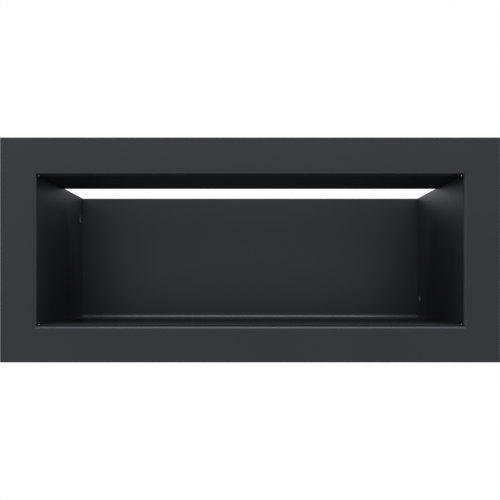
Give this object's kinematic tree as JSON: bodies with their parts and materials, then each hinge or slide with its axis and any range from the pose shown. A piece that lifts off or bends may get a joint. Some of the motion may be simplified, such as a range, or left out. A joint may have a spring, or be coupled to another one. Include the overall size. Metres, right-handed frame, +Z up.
{
  "type": "recessed fireplace air outlet",
  "caption": "Recessed fireplace air outlet: wide flat graphite frame round an open-front folded-steel box with an air slot in its roof, held in a wall sleeve by spring clips.",
  "frame": {"origin": "middle of the opening on the wall's surface, which is the centre of the four wall screw holes", "axes": "+X to the right along the long side, +Y into the wall, +Z up"},
  "size_m": [0.5818, 0.1586, 0.2616],
  "materials": {
    "graphite_coat": "satin graphite powder coat with a very fine texture",
    "galvanised_sheet": "dull galvanised sheet with a faint spangle",
    "spring_steel": "rolled spring steel, dark and lightly oiled",
    "zinc_fasteners": "bright zinc plate",
    "rivet_aluminium": "plain aluminium"
  },
  "bodies": {
    "sleeve": {"sleeve_top": "galvanised_sheet", "sleeve_bottom": "galvanised_sheet", "sleeve_left": "galvanised_sheet", "sleeve_right": "galvanised_sheet", "sleeve_plate_top_left": "galvanised_sheet", "sleeve_plate_top_right": "galvanised_sheet", "sleeve_plate_bottom_left": "galvanised_sheet", "sleeve_plate_bottom_right": "galvanised_sheet", "sleeve_rivets": "rivet_aluminium"},
    "vent": {"front_frame": "graphite_coat", "roof_lip": "graphite_coat", "floor_and_back": "graphite_coat", "floor_rail": "graphite_coat", "left_cheek": "graphite_coat", "right_cheek": "graphite_coat", "frame_studs": "zinc_fasteners", "stud_washers": "zinc_fasteners", "stud_nuts": "zinc_fasteners"},
    "left_spring": {"left_clip": "spring_steel"},
    "right_spring": {"right_clip": "spring_steel"}
  },
  "joints": [
    {"name": "vent_slide", "type": "slide", "parent": "sleeve", "child": "vent", "axis": [0, -1, 0], "range_m": [0, 0.16]},
    {"name": "left_spring_flex", "type": "hinge", "parent": "vent", "child": "left_spring", "pos_m": [-0.2515, 0.1285, 0.0586], "axis": [0, 0, 1], "range_deg": [0, 0.9], "stiffness_Nm_per_rad": 38},
    {"name": "right_spring_flex", "type": "hinge", "parent": "vent", "child": "right_spring", "pos_m": [0.2515, 0.1285, -0.0586], "axis": [0, 0, -1], "range_deg": [0, 0.9], "stiffness_Nm_per_rad": 38}
  ]
}
